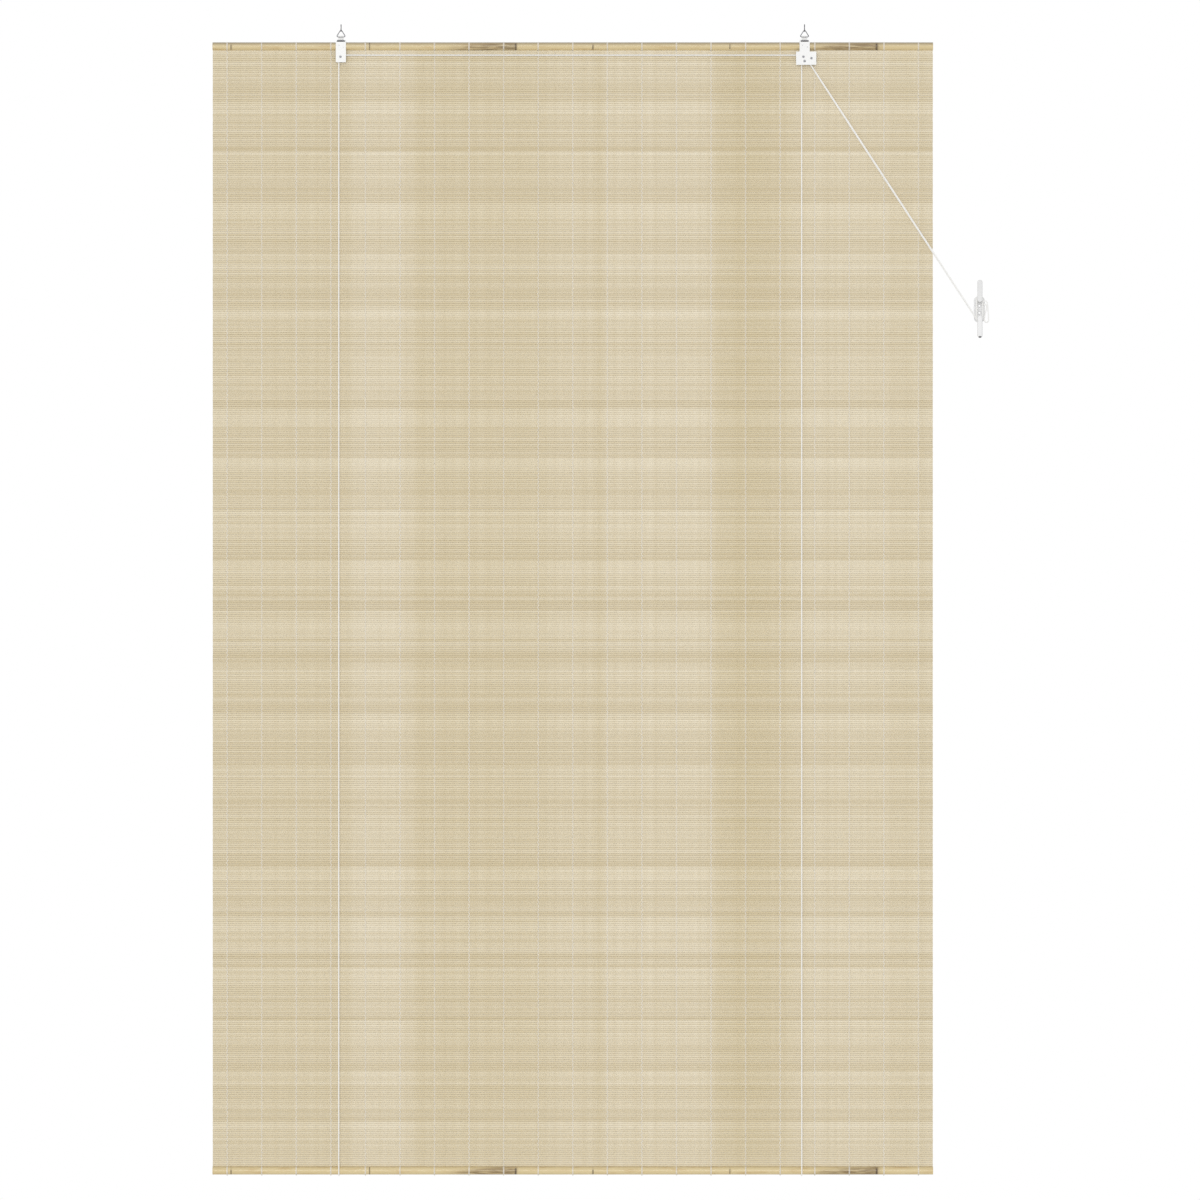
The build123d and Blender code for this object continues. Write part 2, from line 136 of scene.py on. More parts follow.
def mixed(tree, factor, first, second):
    """Colour mix; first and second are colours or output sockets."""
    node = add_node(tree, "ShaderNodeMix", data_type="RGBA")
    for socket, value in ((node.inputs[0], factor), (node.inputs[6], first), (node.inputs[7], second)):
        if hasattr(value, "is_linked"):
            tree.links.new(value, socket)
        else:
            socket.default_value = value if isinstance(value, float) else (*value, 1)
    return node.outputs[2]


def reckoned(tree, operation, *values):
    """Math node on numbers or output sockets."""
    node = add_node(tree, "ShaderNodeMath", operation=operation)
    for socket, value in zip(node.inputs, values):
        if hasattr(value, "is_linked"):
            tree.links.new(value, socket)
        else:
            socket.default_value = value
    return node.outputs[0]


def ranged(tree, value, start, end, low=0.0, high=1.0):
    """Value between start and end, spread over low to high and held there."""
    node = add_node(tree, "ShaderNodeMapRange")
    for label, number in (("From Min", start), ("From Max", end), ("To Min", low), ("To Max", high)):
        node.inputs[label].default_value = number
    tree.links.new(value, node.inputs["Value"])
    return node.outputs["Result"]


def stretched_noise(tree, stretch, scale, detail=4.0):
    """Noise on Object coordinates, drawn out along an axis by the mapping."""
    place = tree.nodes.new("ShaderNodeTexCoord")
    mapping = add_node(tree, "ShaderNodeMapping")
    mapping.inputs["Scale"].default_value = stretch
    noise = add_node(tree, "ShaderNodeTexNoise")
    noise.inputs["Scale"].default_value = scale
    noise.inputs["Detail"].default_value = detail
    tree.links.new(place.outputs["Object"], mapping.inputs["Vector"])
    tree.links.new(mapping.outputs["Vector"], noise.inputs["Vector"])
    return noise.outputs["Fac"]


def bamboo_rind():
    """Straw-coloured rind with fibres and clouds, darkened by painted shade towards the top, browned and
    ringed where the attributes say.
    """
    finish, tree, shader = new_finish("bamboo_rind", (0.62, 0.50, 0.28), 0.42)
    fibres = stretched_noise(tree, (4.0, 1500.0, 1500.0), 1.0)
    clouds = stretched_noise(tree, (9.0, 40.0, 40.0), 1.0, 3.0)
    straw = mixed(tree, fibres, (0.62, 0.48, 0.23), (0.90, 0.79, 0.53))
    straw = mixed(tree, clouds, straw, (0.68, 0.54, 0.28))
    flush = ranged(tree, stretched_noise(tree, (22.0, 130.0, 130.0), 1.0, 3.0), 0.52, 0.70, 0.0, 0.55)
    straw = mixed(tree, flush, straw, (0.56, 0.38, 0.16))
    top_shade = add_node(tree, "ShaderNodeAttribute", attribute_name="painted_top_shade")
    stain = add_node(tree, "ShaderNodeAttribute", attribute_name="browned")
    ring = add_node(tree, "ShaderNodeAttribute", attribute_name="culm_ring")
    # Painted shade: the rind greys towards the slat's top edge.
    top_shaded = mixed(tree, top_shade.outputs["Fac"], straw, (0.22, 0.19, 0.14))
    streaks = ranged(tree, stretched_noise(tree, (34.0, 420.0, 420.0), 1.0, 4.0), 0.38, 0.58, 0.36)
    stained = reckoned(tree, "MULTIPLY", streaks, stain.outputs["Fac"])
    brown = mixed(tree, clouds, (0.16, 0.12, 0.06), (0.36, 0.24, 0.11))
    browned = mixed(tree, stained, top_shaded, brown)
    ring_edge = ranged(tree, stretched_noise(tree, (300.0, 300.0, 300.0), 1.0, 2.0), 0.30, 0.55, 0.75)
    ring_dark = reckoned(tree, "MULTIPLY", ring.outputs["Fac"], ring_edge)
    ringed = mixed(tree, ring_dark, browned, (0.07, 0.04, 0.02))
    tree.links.new(ringed, shader.inputs["Base Color"])
    bump = add_node(tree, "ShaderNodeBump", Strength=0.25, Distance=0.0004)
    tree.links.new(fibres, bump.inputs["Height"])
    tree.links.new(bump.outputs["Normal"], shader.inputs["Normal"])
    shader.inputs["Coat Weight"].default_value = 0.15
    return finish


def slat_outline():
    """Points round the split as (y, z, rind): the round front, the lips and the hollow back."""
    outline = []
    half_deg = math.degrees(math.asin(SLAT_HEIGHT / 2 / SLAT_ROUND))
    for k in range(15):
        turn = math.radians(180 - half_deg + 2 * half_deg * k / 14)
        outline.append((SLAT_AXIS_Y + SLAT_ROUND * math.cos(turn), SLAT_ROUND * math.sin(turn), 1.0))
    lip = (SLAT_LIP_Y, SLAT_BACK_Y - SLAT_LIP_ROUND)
    outline += [(y, -SLAT_HEIGHT / 2, 0.0) for y in lip]
    for share in (-1.0, -0.5, 0.0, 0.5, 1.0):
        outline.append((SLAT_BACK_Y - BACK_HOLLOW * (1 - share ** 2), share * BACK_HALF, 0.0))
    outline += [(y, SLAT_HEIGHT / 2, 0.0) for y in reversed(lip)]
    return outline


def soft_step(value, softness):
    """Rises from 0 to 1 as value goes through zero."""
    return 1 / (1 + math.exp(min(-value / softness, 60)))


def brown_at(x, height):
    """Strength of the brown stains, each a wedge that grows along the slat and ends short."""
    stain = 0.0
    for low, high in BROWNED:
        wedge = BROWN_LOW_SHARE + BROWN_GROWTH_SHARE * (x - low) / (high - low)
        ends = soft_step(x - low, BROWN_FADE_IN) * soft_step(high - x, BROWN_FADE_OUT)
        stain = max(stain, ends * soft_step(wedge - height, BROWN_EDGE_SHARE))
    return stain


def node_mark_at(x, height):
    """Strength of the dark marks on the culm's nodes, faint above and below each mark's ends."""
    mark = 0.0
    for place, low, high, broad in CULM_NODES:
        across = math.exp(-((x - place + NODE_MARK_ASIDE) / (NODE_MARK_WIDE * broad)) ** 2)
        mark = max(mark, across if low <= height <= high else 0.25 * across)
    return mark


def node_rise_at(x):
    """Height of the culm's rings over the rind: a ridge with a groove beside it."""
    rise = 0.0
    for place, *_ in CULM_NODES:
        ridge = (x - place) / NODE_RIDGE_WIDE
        groove = (x - place - NODE_GROOVE_ASIDE) / NODE_GROOVE_WIDE
        rise += NODE_RIDGE * math.exp(-ridge * ridge) - NODE_GROOVE * math.exp(-groove * groove)
    return rise


def slat_piece(name, top, seed, top_shade):
    """D-shaped bar with its culm rings; painted top shade, brown and ring strengths are kept as vertex
    attributes.
    """
    rng = random.Random(seed)
    xs = [-BLIND_HALF + 2 * BLIND_HALF * k / SLAT_STATIONS for k in range(SLAT_STATIONS + 1)]
    xs += [place + off for place, *_ in CULM_NODES for off in NODE_STATIONS]
    xs.sort()
    phase = [rng.uniform(0, 6.28) for k in range(2)]
    mid = top - SLAT_HEIGHT / 2
    outline = slat_outline()
    verts, painted_top_shade, browned, ringed = [], [], [], []
    for x in xs:
        rise = node_rise_at(x)
        wave = SLAT_WAVE * (math.sin(5.1 * x + phase[0]) + 0.6 * math.sin(17 * x + phase[1]))
        for y, z, rind in outline:
            height = z / SLAT_HEIGHT + 0.5
            out = rind * (rise + wave - SLAT_INSET)
            dy = y - SLAT_AXIS_Y
            size = math.hypot(dy, z)
            lift = out * z / size if abs(z) < SLAT_CREST else 0.0
            verts.append((x, y + out * dy / size, mid + z + lift))
            # Painted shade, rising from partway up the slat to its top edge.
            above = max(0.0, (height - TOP_SHADE_START_SHARE) / (1 - TOP_SHADE_START_SHARE))
            painted_top_shade.append(top_shade * above ** 1.6)
            browned.append(brown_at(x, height))
            ringed.append(node_mark_at(x, height) * rind)
    n = len(outline)
    faces = [list(range(n)), [len(verts) - 1 - k for k in range(n)]]
    for row in range(len(xs) - 1):
        for k in range(n):
            a, b = row * n + k, row * n + (k + 1) % n
            faces.append((b, a, a + n, b + n))
    piece = new_piece(name, verts, faces, SLAT_FINISH)
    for label, values in (("painted_top_shade", painted_top_shade), ("browned", browned), ("culm_ring", ringed)):
        layer = piece.data.attributes.new(label, "FLOAT", "POINT")
        layer.data.foreach_set("value", values)
    return piece


SLAT_FINISH = bamboo_rind()
# The head slat carries much more painted top shade than the bottom slat.
head_slat = slat_piece("head_slat_bamboo", SLAT_TOP, 11, 0.85)
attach(head_slat, "head")
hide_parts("head_slat")
bottom_slat = slat_piece("bottom_slat_bamboo", BLIND_LOW + SLAT_HEIGHT, 12, 0.15)
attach(bottom_slat, "bottom_bar")
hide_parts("bottom_slat")

# Reed mat
# Slim split reeds of bamboo laid edge to edge, each a little different in width, thickness and colour.
# They are taken from the bundle in order, so the tone comes and goes in bands down the blind.
# The raised mat ends just clear of the bottom slat.
MAT_Y = -0.00085
MAT_TOP = SLAT_TOP - SLAT_HEIGHT
MAT_LOW = BLIND_LOW + SLAT_HEIGHT
REED_COUNT = 542
REED_PITCH = (MAT_TOP - MAT_LOW) / REED_COUNT
REED_TRIM = 0.0004
TONE_BAND = 0.0992
FIRST_BAND_TOP = SLAT_TOP - 0.115


def new_tree(name, sizes):
    """Geometry node tree with one geometry output and named size inputs."""
    tree = bpy.data.node_groups.new(name, "GeometryNodeTree")
    tree.interface.new_socket("Geometry", in_out="OUTPUT", socket_type="NodeSocketGeometry")
    for label, kind, value in sizes:
        tree.interface.new_socket(label, in_out="INPUT", socket_type=kind).default_value = value
    return tree, tree.nodes.new("NodeGroupInput"), tree.nodes.new("NodeGroupOutput")


def made_piece(name, tree, finish, values=None):
    """Runs a tree on an empty mesh and keeps its result as a plain mesh."""
    maker = bpy.data.objects.new(name + "_maker", bpy.data.meshes.new(name + "_seed"))
    bpy.context.collection.objects.link(maker)
    modifier = maker.modifiers.new("make", "NODES")
    modifier.node_group = tree
    for item in tree.interface.items_tree:
        if values and item.in_out == "INPUT" and item.name in values:
            modifier[item.identifier] = values[item.name]
    graph = bpy.context.evaluated_depsgraph_get()
    mesh = bpy.data.meshes.new_from_object(maker.evaluated_get(graph))
    mesh.name = name
    maker.modifiers.remove(modifier)
    bpy.data.objects.remove(maker)
    shade(mesh)
    if not mesh.materials:
        mesh.materials.append(finish)
    piece = bpy.data.objects.new(name, mesh)
    bpy.context.collection.objects.link(piece)
    return piece


def reed_surface():
    """Reeds in bands of tone down the blind and fields of tone across it, each reed a little off its band."""
    finish, tree, shader = new_finish("reed_surface", (0.66, 0.58, 0.42), 0.62)
    place = tree.nodes.new("ShaderNodeTexCoord")
    split = tree.nodes.new("ShaderNodeSeparateXYZ")
    tree.links.new(place.outputs["Object"], split.inputs[0])
    down = reckoned(tree, "MULTIPLY_ADD", split.outputs["Z"], -1 / TONE_BAND, FIRST_BAND_TOP / TONE_BAND)
    sway = stretched_noise(tree, (2.2, 0.0, 9.0), 1.0, 2.0)
    band = reckoned(tree, "FRACT", reckoned(tree, "MULTIPLY_ADD", sway, 0.02, down))
    fields = tree.nodes.new("ShaderNodeValToRGB")
    fields.color_ramp.interpolation = "EASE"
    stops = ((0.0, 0.52), (0.18, 0.55), (0.205, 0.22), (0.27, 0.24), (0.285, 0.66), (0.455, 0.62),
             (0.475, 0.40), (0.525, 0.40), (0.535, 0.62), (0.552, 0.30), (0.69, 0.26), (0.70, 0.70),
             (0.74, 0.86), (0.80, 0.62), (0.812, 0.28), (0.935, 0.28), (0.95, 0.42), (1.0, 0.42))
    for k, (at, tone) in enumerate(stops):
        stop = fields.color_ramp.elements[k] if k < 2 else fields.color_ramp.elements.new(at)
        stop.position = at
        stop.color = (tone, tone, tone, 1)
    tree.links.new(ranged(tree, split.outputs["X"], -BLIND_HALF, BLIND_HALF), fields.inputs["Fac"])
    field_tone = mixed(tree, fields.outputs["Color"], (0.985, 0.916, 0.775), (0.690, 0.585, 0.355))
    band_tone = mixed(tree, reckoned(tree, "MULTIPLY", band, 0.50), field_tone, (0.60, 0.49, 0.295))
    each = add_node(tree, "ShaderNodeAttribute", attribute_name="reed_tone")
    own_tone = mixed(tree, each.outputs["Fac"], (0.54, 0.44, 0.235), (0.93, 0.865, 0.700))
    reed_tone = mixed(tree, 0.30, band_tone, own_tone)
    upright = ranged(tree, stretched_noise(tree, (70.0, 0.0, 0.0), 1.0, 4.0), 0.35, 0.65, 0.0, 0.31)
    reed_tone = mixed(tree, upright, reed_tone, (0.62, 0.515, 0.31))
    fibres = stretched_noise(tree, (5.0, 2200.0, 2200.0), 1.0, 2.0)
    streak = ranged(tree, fibres, 0.0, 1.0, 0.0, 0.34)
    tree.links.new(mixed(tree, streak, reed_tone, (0.64, 0.53, 0.33)), shader.inputs["Base Color"])
    bump = add_node(tree, "ShaderNodeBump", Strength=0.25, Distance=0.0002)
    tree.links.new(fibres, bump.inputs["Height"])
    tree.links.new(bump.outputs["Normal"], shader.inputs["Normal"])
    return finish


def reed_tree(finish):
    """Reeds: a bar on each point of a line down the blind, each with its own girth, tone and waver."""
    tree, sizes, result = new_tree("reeds", (
        ("Reeds", "NodeSocketInt", REED_COUNT), ("Pitch", "NodeSocketFloat", REED_PITCH),
        ("Half Height", "NodeSocketFloat", 0.00198), ("Half Thickness", "NodeSocketFloat", 0.00108),
        ("Waver", "NodeSocketFloat", 0.00009), ("Seed", "NodeSocketInt", 7)))
    link = tree.links.new
    offset = tree.nodes.new("ShaderNodeCombineXYZ")
    link(reckoned(tree, "MULTIPLY", sizes.outputs["Pitch"], -1.0), offset.inputs["Z"])
    line = add_node(tree, "GeometryNodeMeshLine", mode="OFFSET")
    link(sizes.outputs["Reeds"], line.inputs["Count"])
    line.inputs["Start Location"].default_value = (0, MAT_Y, MAT_TOP - REED_PITCH / 2)
    link(offset.outputs[0], line.inputs["Offset"])
    bar = add_node(tree, "GeometryNodeMeshCylinder", fill_type="NGON")
    bar.inputs["Vertices"].default_value = 8
    bar.inputs["Side Segments"].default_value = 19
    bar.inputs["Radius"].default_value = 1.0
    bar.inputs["Depth"].default_value = 2 * BLIND_HALF - REED_TRIM
    lay = tree.nodes.new("GeometryNodeTransform")
    lay.inputs["Rotation"].default_value = (0, math.pi / 2, 0)
    link(bar.outputs["Mesh"], lay.inputs["Geometry"])
    girth = tree.nodes.new("ShaderNodeCombineXYZ")
    girth.inputs["X"].default_value = 1.0
    link(sizes.outputs["Half Thickness"], girth.inputs["Y"])
    link(sizes.outputs["Half Height"], girth.inputs["Z"])
    slim = tree.nodes.new("GeometryNodeTransform")
    link(lay.outputs[0], slim.inputs["Geometry"])
    link(girth.outputs[0], slim.inputs["Scale"])
    size = add_node(tree, "FunctionNodeRandomValue", data_type="FLOAT_VECTOR")
    size.inputs[0].default_value = (0.9995, 0.82, 0.955)
    size.inputs[1].default_value = (1.0, 1.0, 1.0)
    link(sizes.outputs["Seed"], size.inputs["Seed"])
    spread = tree.nodes.new("GeometryNodeInstanceOnPoints")
    link(line.outputs["Mesh"], spread.inputs["Points"])
    link(slim.outputs[0], spread.inputs["Instance"])
    link(size.outputs[0], spread.inputs["Scale"])
    tone = add_node(tree, "FunctionNodeRandomValue", data_type="FLOAT")
    tone.inputs["Seed"].default_value = 21
    keep = add_node(tree, "GeometryNodeStoreNamedAttribute", data_type="FLOAT", domain="INSTANCE")
    keep.inputs["Name"].default_value = "reed_tone"
    link(spread.outputs[0], keep.inputs["Geometry"])
    link(tone.outputs[1], keep.inputs["Value"])
    real = tree.nodes.new("GeometryNodeRealizeInstances")
    link(keep.outputs[0], real.inputs[0])
    spot = tree.nodes.new("GeometryNodeInputPosition")
    wave = add_node(tree, "ShaderNodeTexNoise", noise_dimensions="4D")
    wave.inputs["Scale"].default_value = 3.0
    wave.inputs["Detail"].default_value = 1.5
    named = add_node(tree, "GeometryNodeInputNamedAttribute", data_type="FLOAT")
    named.inputs["Name"].default_value = "reed_tone"
    link(reckoned(tree, "MULTIPLY", named.outputs["Attribute"], 90.0), wave.inputs["W"])
    along = tree.nodes.new("ShaderNodeSeparateXYZ")
    link(spot.outputs[0], along.inputs[0])
    run = tree.nodes.new("ShaderNodeCombineXYZ")
    link(along.outputs["X"], run.inputs["X"])
    link(run.outputs[0], wave.inputs["Vector"])
    centred = add_node(tree, "ShaderNodeVectorMath", operation="SUBTRACT")
    centred.inputs[1].default_value = (0.5, 0.5, 0.5)
    link(wave.outputs["Color"], centred.inputs[0])
    only = add_node(tree, "ShaderNodeVectorMath", operation="MULTIPLY")
    only.inputs[1].default_value = (0, 0.6, 1.0)
    link(centred.outputs[0], only.inputs[0])
    reach = add_node(tree, "ShaderNodeVectorMath", operation="SCALE")
    link(only.outputs[0], reach.inputs[0])
    link(sizes.outputs["Waver"], reach.inputs["Scale"])
    move = tree.nodes.new("GeometryNodeSetPosition")
    link(real.outputs[0], move.inputs["Geometry"])
    link(reach.outputs[0], move.inputs["Offset"])
    paint = tree.nodes.new("GeometryNodeSetMaterial")
    paint.inputs["Material"].default_value = finish
    link(move.outputs[0], paint.inputs["Geometry"])
    link(paint.outputs[0], result.inputs[0])
    return tree


REED_FINISH = reed_surface()
reeds = made_piece("reeds", reed_tree(REED_FINISH), REED_FINISH)
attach(reeds, "head")
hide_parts("reed_mat")
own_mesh(reeds)

# Warp threads
# Pairs of cotton threads twined round the reeds, one in front of a reed and one behind it, then crossing.
# They hold the reeds at an even pitch and run unbroken from slat to slat.
LEFT_WARPS = 11
RIGHT_WARPS = 10
WARP_PITCH = 0.06716
THREAD_R = 0.00064
THREAD_ASIDE = 0.00074


def cotton_thread():
    """Off-white cotton with a fine fuzz."""
    finish, tree, shader = new_finish("cotton_thread", (0.74, 0.69, 0.57), 0.85)
    fuzz = stretched_noise(tree, (1.0, 1.0, 1.0), 900.0, 2.0)
    cotton = mixed(tree, fuzz, (0.86, 0.82, 0.74), (0.95, 0.92, 0.86))
    tree.links.new(cotton, shader.inputs["Base Color"])
    bump = add_node(tree, "ShaderNodeBump", Strength=0.4, Distance=0.0002)
    tree.links.new(fuzz, bump.inputs["Height"])
    tree.links.new(bump.outputs["Normal"], shader.inputs["Normal"])
    shader.inputs["Sheen Weight"].default_value = 0.2
    return finish


def warp_tree(finish):
    """Twined threads: a stepped line over and under the reeds, as a tube, on each place across the blind."""
    tree, sizes, result = new_tree("warps", (
        ("Warps", "NodeSocketInt", LEFT_WARPS), ("First X", "NodeSocketFloat", 0.0),
        ("Warp Pitch", "NodeSocketFloat", WARP_PITCH), ("Reeds", "NodeSocketInt", REED_COUNT),
        ("Thread Radius", "NodeSocketFloat", THREAD_R), ("Lift", "NodeSocketFloat", 0.00150)))
    link = tree.links.new
    count = reckoned(tree, "MULTIPLY", sizes.outputs["Reeds"], 2.0)
    round_bar = add_node(tree, "GeometryNodeCurvePrimitiveCircle", mode="RADIUS")
    round_bar.inputs["Resolution"].default_value = 4
    link(sizes.outputs["Thread Radius"], round_bar.inputs["Radius"])
    both = tree.nodes.new("GeometryNodeJoinGeometry")
    for phase, aside in ((0.0, -THREAD_ASIDE), (1.0, THREAD_ASIDE)):
        line = add_node(tree, "GeometryNodeMeshLine", mode="OFFSET")
        link(count, line.inputs["Count"])
        line.inputs["Start Location"].default_value = (aside, MAT_Y, MAT_TOP - REED_PITCH / 4)
        line.inputs["Offset"].default_value = (0, 0, -REED_PITCH / 2)
        index = tree.nodes.new("GeometryNodeInputIndex")
        reed = reckoned(tree, "FLOOR", reckoned(tree, "MULTIPLY", index.outputs[0], 0.5))
        parity = reckoned(tree, "MODULO", reckoned(tree, "ADD", reed, phase), 2.0)
        side = reckoned(tree, "MULTIPLY_ADD", parity, 2.0, -1.0)
        push = tree.nodes.new("ShaderNodeCombineXYZ")
        link(reckoned(tree, "MULTIPLY", side, sizes.outputs["Lift"]), push.inputs["Y"])
        move = tree.nodes.new("GeometryNodeSetPosition")
        link(line.outputs["Mesh"], move.inputs["Geometry"])
        link(push.outputs[0], move.inputs["Offset"])
        curve = tree.nodes.new("GeometryNodeMeshToCurve")
        link(move.outputs[0], curve.inputs[0])
        tube = tree.nodes.new("GeometryNodeCurveToMesh")
        tube.inputs["Fill Caps"].default_value = True
        link(curve.outputs[0], tube.inputs["Curve"])
        link(round_bar.outputs[0], tube.inputs["Profile Curve"])
        link(tube.outputs[0], both.inputs[0])
    start = tree.nodes.new("ShaderNodeCombineXYZ")
    link(sizes.outputs["First X"], start.inputs["X"])
    step = tree.nodes.new("ShaderNodeCombineXYZ")
    link(sizes.outputs["Warp Pitch"], step.inputs["X"])
    places = add_node(tree, "GeometryNodeMeshLine", mode="OFFSET")
    link(sizes.outputs["Warps"], places.inputs["Count"])
    link(start.outputs[0], places.inputs["Start Location"])
    link(step.outputs[0], places.inputs["Offset"])
    spread = tree.nodes.new("GeometryNodeInstanceOnPoints")
    link(places.outputs["Mesh"], spread.inputs["Points"])
    link(both.outputs[0], spread.inputs["Instance"])
    real = tree.nodes.new("GeometryNodeRealizeInstances")
    link(spread.outputs[0], real.inputs[0])
    paint = tree.nodes.new("GeometryNodeSetMaterial")
    paint.inputs["Material"].default_value = finish
    link(real.outputs[0], paint.inputs["Geometry"])
    link(paint.outputs[0], result.inputs[0])
    return tree


THREAD_FINISH = cotton_thread()
twining = warp_tree(THREAD_FINISH)
left_warps = made_piece("left_warps", twining, THREAD_FINISH,
                        {"Warps": LEFT_WARPS, "First X": (1 - LEFT_WARPS) * WARP_PITCH})
right_warps = made_piece("right_warps", twining, THREAD_FINISH,
                         {"Warps": RIGHT_WARPS, "First X": WARP_PITCH})
for warps in (left_warps, right_warps):
    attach(warps, "head")
    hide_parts("warp_threads")
    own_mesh(warps)

# Slat bindings
# The same threads, drawn tight once round each slat, and tied off in a small knot below the bottom one.
# They bend sharply over the slat's lips and lie flat on its back.
BINDING_R = 0.00052
BINDING_OUT = 0.0004
BINDING_BEHIND = 0.0002
BINDING_OVER = 0.0003
BINDING_BEND_Y = -0.0008
BINDING_BEND_IN = 0.0003
BINDING_BEND_UP = 0.0006
KNOT_R = 0.0007
KNOT_Y = -0.0009
KNOT_DROP = 0.0008
KNOT_HALF_DEEP = 0.0009
KNOT_HALF_HIGH = 0.0007
KNOT_ASIDE = (-0.0004, 0.0005)


def loop_tube(path, x, radius, sides, verts, faces):
    """Closed tube round a loop in the plane of x, added to the lists."""
    first = len(verts)
    n = len(path)
    for k in range(n):
        y0, z0 = path[k - 1]
        y1, z1 = path[(k + 1) % n]
        size = math.hypot(y1 - y0, z1 - z0)
        out = ((z1 - z0) / size, -(y1 - y0) / size)
        for s in range(sides):
            turn = 2 * math.pi * s / sides
            side = radius * math.cos(turn)
            spot = (path[k][0] + side * out[0], path[k][1] + side * out[1])
            verts.append((x + radius * math.sin(turn), *spot))
    for k in range(n):
        for s in range(sides):
            a = first + k * sides + s
            b = first + k * sides + (s + 1) % sides
            c = first + (k + 1) % n * sides + (s + 1) % sides
            d = first + (k + 1) % n * sides + s
            faces.append((a, b, c, d))


def binding_piece(name, top, knots):
    """Two loops of thread at each warp, round the slat whose top is given, with knots below if asked."""
    mid = top - SLAT_HEIGHT / 2
    reach = SLAT_ROUND + BINDING_OUT
    half_deg = math.degrees(math.asin(SLAT_HEIGHT / 2 / SLAT_ROUND))
    path = []
    for k in range(11):
        turn = math.radians(180 - half_deg + 2 * half_deg * k / 10)
        path.append((SLAT_AXIS_Y + reach * math.cos(turn), mid + reach * math.sin(turn)))
    back = SLAT_BACK_Y + BINDING_BEHIND
    low = mid - SLAT_HEIGHT / 2 - BINDING_OVER
    high = mid + SLAT_HEIGHT / 2 + BINDING_OVER
    bend = back - BINDING_BEND_IN
    path += [(BINDING_BEND_Y, low), (bend, low), (back, low + BINDING_BEND_UP), (back, mid)]
    path += [(back, high - BINDING_BEND_UP), (bend, high), (BINDING_BEND_Y, high)]
    ring = []
    for k in range(8):
        turn = 2 * math.pi * k / 8
        ring.append((KNOT_Y + KNOT_HALF_DEEP * math.cos(turn),
                     low - KNOT_DROP + KNOT_HALF_HIGH * math.sin(turn)))
    verts, faces = [], []
    for k in range(LEFT_WARPS + RIGHT_WARPS):
        place = (k + 1 - LEFT_WARPS) * WARP_PITCH
        for aside in (-THREAD_ASIDE, THREAD_ASIDE):
            loop_tube(path, place + aside, BINDING_R, 6, verts, faces)
        for aside in KNOT_ASIDE if knots else ():
            loop_tube(ring, place + aside, KNOT_R, 6, verts, faces)
    piece = new_piece(name, verts, faces, THREAD_FINISH)
    return piece


head_bindings = binding_piece("head_binding_threads", SLAT_TOP, False)
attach(head_bindings, "head")
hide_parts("head_bindings")
bottom_bindings = binding_piece("bottom_binding_threads", BLIND_LOW + SLAT_HEIGHT, True)
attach(bottom_bindings, "bottom_bar")
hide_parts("bottom_bindings")

# Bracket plates
# Sheet steel, stamped, bent and enamelled white: a pulley bracket on the left, a cord lock on the right.
# The enamel is glossy, with the faint orange peel and uneven gloss of a dipped coat.


def uneven_group():
    """Shared effect: soft blotches and fine speckle of a worked surface."""
    group = bpy.data.node_groups.new("uneven_surface", "ShaderNodeTree")
    for label, value in (("Blotch Scale", 60.0), ("Speckle Scale", 900.0)):
        group.interface.new_socket(label, in_out="INPUT", socket_type="NodeSocketFloat").default_value = value
    group.interface.new_socket("Blotches", in_out="OUTPUT", socket_type="NodeSocketFloat")
    group.interface.new_socket("Speckle", in_out="OUTPUT", socket_type="NodeSocketFloat")
    inner, outer = group.nodes.new("NodeGroupInput"), group.nodes.new("NodeGroupOutput")
    place = group.nodes.new("ShaderNodeTexCoord")
    for scale, label, detail in (("Blotch Scale", "Blotches", 3.0), ("Speckle Scale", "Speckle", 2.0)):
        noise = group.nodes.new("ShaderNodeTexNoise")
        noise.inputs["Detail"].default_value = detail
        group.links.new(place.outputs["Object"], noise.inputs["Vector"])
        group.links.new(inner.outputs[scale], noise.inputs["Scale"])
        group.links.new(noise.outputs["Fac"], outer.inputs[label])
    return group


UNEVEN = uneven_group()


def worked_finish(name, low, high, roughness, rough_spread, metallic, bump_depth, blotch=60.0, speckle=900.0):
    """Metal, enamel or plastic with uneven colour and gloss."""
    finish, tree, shader = new_finish(name, low, roughness)
    uneven = tree.nodes.new("ShaderNodeGroup")
    uneven.node_tree = UNEVEN
    uneven.inputs["Blotch Scale"].default_value = blotch
    uneven.inputs["Speckle Scale"].default_value = speckle
    tree.links.new(mixed(tree, uneven.outputs["Blotches"], low, high), shader.inputs["Base Color"])
    gloss = ranged(tree, uneven.outputs["Speckle"], 0.0, 1.0,
                   roughness - rough_spread, roughness + rough_spread)
    tree.links.new(gloss, shader.inputs["Roughness"])
    bump = add_node(tree, "ShaderNodeBump", Strength=0.2, Distance=bump_depth)
    tree.links.new(uneven.outputs["Speckle"], bump.inputs["Height"])
    tree.links.new(bump.outputs["Normal"], shader.inputs["Normal"])
    shader.inputs["Metallic"].default_value = metallic
    return finish


def dress(names, finish):
    """Gives CAD nodes their finish."""
    for name in names:
        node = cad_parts[name]
        if not node.material_slots:
            node.data.materials.append(finish)
        for holder in node.material_slots:
            holder.material = finish


dress(("left_front_plate", "right_front_plate", "left_back_plate", "right_back_plate"),
      worked_finish("white_enamel", (0.80, 0.80, 0.79), (0.88, 0.88, 0.87), 0.28, 0.06, 0.0, 0.0001))

